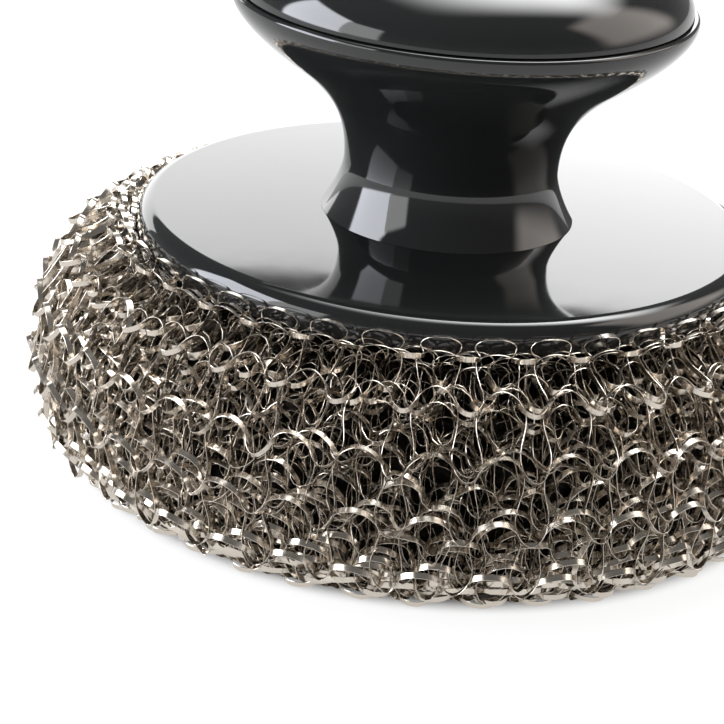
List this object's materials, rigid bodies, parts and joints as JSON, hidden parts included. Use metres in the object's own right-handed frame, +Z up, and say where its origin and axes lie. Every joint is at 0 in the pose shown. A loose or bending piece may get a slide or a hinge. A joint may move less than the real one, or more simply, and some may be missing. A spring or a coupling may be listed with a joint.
{
  "type": "griddle brush",
  "caption": "Palm-held griddle scourer: a knitted steel ribbon pad clamped under a gloss black plastic disc with a waisted mushroom knob.",
  "frame": {"origin": "middle of the pad's flat underside, on the plane that it rests on", "axes": "+Z up along the knob's axis, +X to the right and -Y towards the viewer of the picture"},
  "size_m": [0.1008, 0.1008, 0.0689],
  "materials": {
    "gloss_black": "gloss",
    "matte_black": "satin",
    "plated_steel": "satin",
    "steel_ribbon": "polished",
    "knit_folds": "satin"
  },
  "bodies": {
    "handle": {"base_disc": "gloss_black", "grip_body": "gloss_black", "screw_washer": "plated_steel"},
    "cap": {"grip_cap": "gloss_black"},
    "screw": {"clamp_screw": "plated_steel"},
    "pad": {"pad_core": "knit_folds", "knit_sleeve": "steel_ribbon", "gather_ring_upper": "plated_steel", "gather_ring_lower": "plated_steel", "retainer_plate": "matte_black", "clamp_nut": "plated_steel"}
  },
  "joints": [
    {"name": "cap_lift", "type": "slide", "parent": "handle", "child": "cap", "axis": [0, 0, 1], "range_m": [0, 0.015]},
    {"name": "screw_turn", "type": "hinge", "parent": "handle", "child": "screw", "pos_m": [0, 0, 0.0396], "axis": [0, 0, 1], "range_deg": [0, 2250]},
    {"name": "pad_release", "type": "slide", "parent": "handle", "child": "pad", "axis": [0, 0, -1], "range_m": [0, 0.005]}
  ],
  "couplings": [
    {"joint": "screw_turn", "follows": "pad_release", "rad_per_m": 7854}
  ]
}
